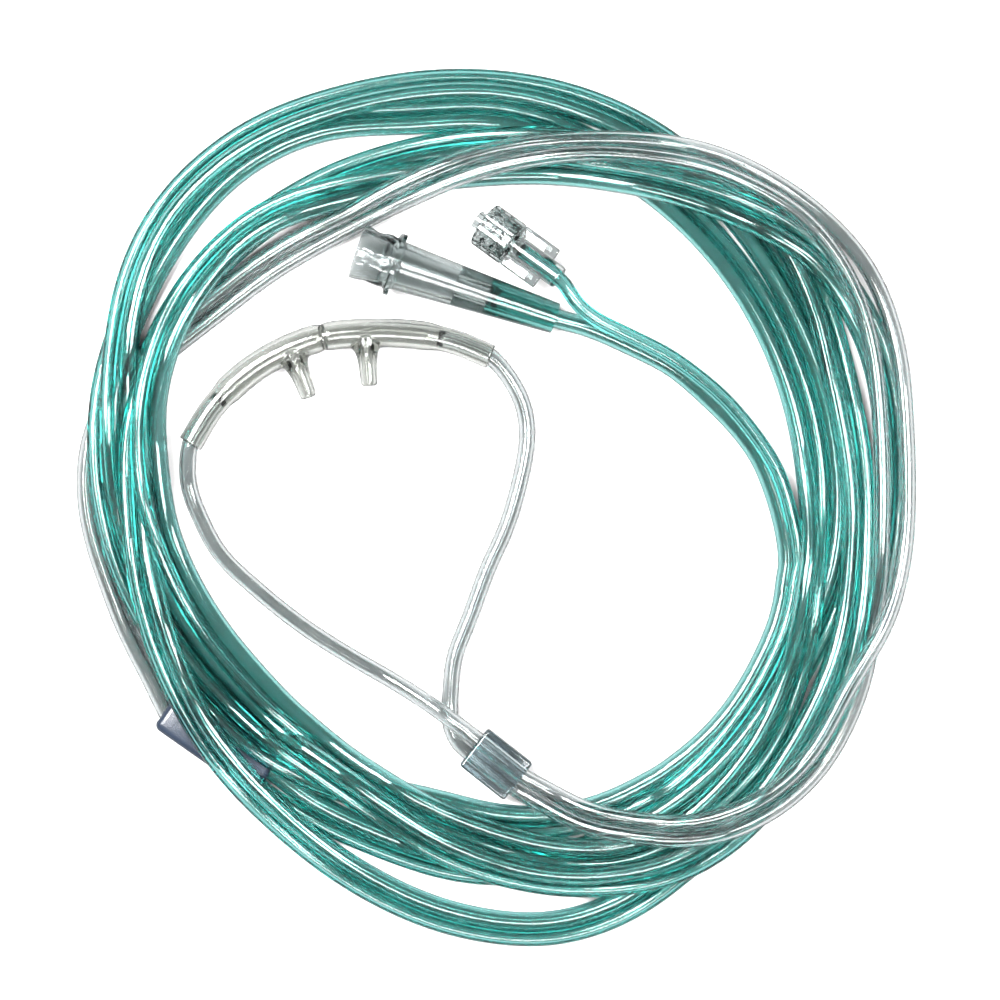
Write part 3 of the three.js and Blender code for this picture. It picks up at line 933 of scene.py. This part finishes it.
def luer_fitting():
    """The hard clear lock fitting: a tapered tip in a threaded collar, and a barrel between two wings."""
    body = revolve("luer_body", [
        (0, TIP_BORE), (0, TIP_RADIUS),
        (COLLAR_FLOOR, TIP_ROOT_RADIUS), (COLLAR_FLOOR, COLLAR_INNER_RADIUS),
        (COLLAR_END, COLLAR_INNER_RADIUS), (COLLAR_END + 0.4, BARREL_RADIUS),
        (BARREL_END - 0.4, BARREL_RADIUS), (BARREL_END, BARREL_RADIUS - 0.2),
        (BARREL_END, SAMPLING_RADIUS + TUBE_GAP), (BARREL_SOCKET, SAMPLING_RADIUS + TUBE_GAP),
        (BARREL_SOCKET, TIP_BORE),
    ], LUER_TIP, LUER_HEADING, LUER_PITCH, 48, hard_plastic)
    sharpen(body, 40)

    def collar_shape(distance, radius, angle):
        """The thread inside the collar and the grip ribs outside it."""
        if radius < (COLLAR_INNER_RADIUS + COLLAR_RADIUS) / 2 and distance < COLLAR_FLOOR:
            phase = (distance / THREAD_PITCH + angle / math.pi) % 1
            return distance, radius - THREAD_DEPTH * max(0, 1 - abs(phase - 0.5) * 4)
        if radius > COLLAR_RADIUS - 0.05:
            return distance, radius + RIB_HEIGHT * math.cos(RIBS * angle)
        return distance, radius

    collar = revolve("luer_collar", [
        (COLLAR_START, COLLAR_INNER_RADIUS),
        (COLLAR_START, COLLAR_RADIUS - 0.2), (COLLAR_START + 0.2, COLLAR_RADIUS),
        (COLLAR_END - 0.3, COLLAR_RADIUS), (COLLAR_END, COLLAR_RADIUS - 0.3),
        (COLLAR_END, COLLAR_INNER_RADIUS),
    ], LUER_TIP, LUER_HEADING, LUER_PITCH, 96, hard_plastic, collar_shape, 0.25)
    wings = []
    for side in (-1, 1):
        start, end = BARREL_RADIUS - 0.2, COLLAR_RADIUS
        size = (WING_END - COLLAR_END, end - start, WING_THICKNESS)
        place = axis_frame(LUER_TIP, LUER_HEADING, LUER_PITCH)
        place = place @ Matrix.Translation(((WING_END + COLLAR_END) / 2, side * (start + end) / 2, 0))
        wings.append(box("wing", size, WING_CORNER, place, 3, hard_plastic))
    made = join("luer_fitting", [body, collar] + wings)
    sharpen(made, 40)
    return made


# Building the pieces
oxygen_tube = hollow_tube("green_o2_tube", oxygen_path, OXYGEN_RADIUS, OXYGEN_BORE, green_vinyl)
sampling_tube = hollow_tube("green_co2_tube", sampling_path, SAMPLING_RADIUS, SAMPLING_BORE, green_vinyl, 20)
left_tube = hollow_tube("left_clear_tube", left_path, CLEAR_RADIUS, CLEAR_BORE, clear_vinyl)
right_tube = hollow_tube("right_clear_tube", right_path, CLEAR_RADIUS, CLEAR_BORE, clear_vinyl)
connector = oxygen_connector()
fitting = luer_fitting()


# What each piece moves with, which solids it stands for and a material slot name for it, which nothing here
# reads
for piece, body, nodes, slot in (
    (oxygen_tube, "cannula", ("tubing_coil", "o2_tail_tube"), "green_tubing"),
    (sampling_tube, "cannula", ("co2_tail_tube",), "green_tubing"),
    (left_tube, "cannula", ("left_lariat_tube",), "clear_tubing"),
    (right_tube, "cannula", ("right_lariat_tube",), "clear_tubing"),
    (nasal_piece(), "cannula", ("nasal_piece",), "soft_clear"),
    (slider(), "slider", ("slider",), "slider_plastic"),
    (junction_block(), "cannula", ("junction_block",), "junction_plastic"),
    (connector, "cannula", ("o2_connector",), "connector_plastic"),
    (fitting, "cannula", ("luer_fitting",), "luer_plastic"),
):
    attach(piece, body)
    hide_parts(*nodes)


# Light and floor
def area_light(name, place, size, power):
    """A soft rectangular lamp, which faces the middle of the coil."""
    data = bpy.data.lights.new(name, "AREA")
    data.shape = "RECTANGLE"
    data.size, data.size_y = size
    data.energy = power
    light = bpy.data.objects.new(name, data)
    light.location = place
    light.rotation_euler = (-Vector(place)).to_track_quat("-Z", "Y").to_euler()
    bpy.context.scene.collection.objects.link(light)


def world_light():
    """A sky that is pale above and grey at the horizon."""
    world = bpy.data.worlds.new("world")
    world.use_nodes = True
    bpy.context.scene.world = world
    nodes = world.node_tree.nodes
    link = world.node_tree.links.new
    place = nodes.new("ShaderNodeTexCoord")
    split = nodes.new("ShaderNodeSeparateXYZ")
    ramp = nodes.new("ShaderNodeValToRGB")
    ramp.color_ramp.elements[0].position = 0.0
    ramp.color_ramp.elements[0].color = (0.05, 0.055, 0.06, 1)
    ramp.color_ramp.elements[1].position = 0.9
    ramp.color_ramp.elements[1].color = (1, 1, 1, 1)
    link(place.outputs["Generated"], split.inputs["Vector"])
    link(split.outputs["Z"], ramp.inputs["Fac"])
    link(ramp.outputs["Color"], nodes["Background"].inputs["Color"])
    nodes["Background"].inputs["Strength"].default_value = 0.5


def floor(name, whiteness, seen):
    """A plain floor, which either only the camera sees or only the tubes and the light see. The grey one that
    only the tubes and the light see is painted shade: it stands in for the shade on the floor round the
    tubes.
    """
    data = bpy.data.materials.new(name)
    data.use_nodes = True
    shader = data.node_tree.nodes["Principled BSDF"]
    shader.inputs["Base Color"].default_value = (whiteness, whiteness, whiteness, 1)
    shader.inputs["Roughness"].default_value = 0.9
    reach = FLOOR_REACH
    corners = [(-reach, -reach), (reach, -reach), (reach, reach), (-reach, reach)]
    plane = new_object(name, [(x, y, -FLOOR_GAP) for x, y in corners], [(0, 1, 2, 3)], data)
    plane.visible_camera = seen
    plane.visible_diffuse = plane.visible_glossy = plane.visible_transmission = not seen
    plane.visible_shadow = False


area_light("key", (-0.45, 0.3, 1.0), (0.6, 0.6), 42)
area_light("fill", (0.5, 0.05, 1.0), (0.3, 0.6), 14)
area_light("front", (0.0, -0.5, 1.0), (0.6, 0.3), 11)
world_light()
floor("floor_seen", 0.95, True)
# Painted shade: a grey floor that only the tubes and the light see. The tubes show dark edges and darker
# bodies from it, though the floor that the camera sees is white.
floor("painted_shade_floor", 0.22, False)
bpy.context.scene.view_settings.view_transform = "Standard"
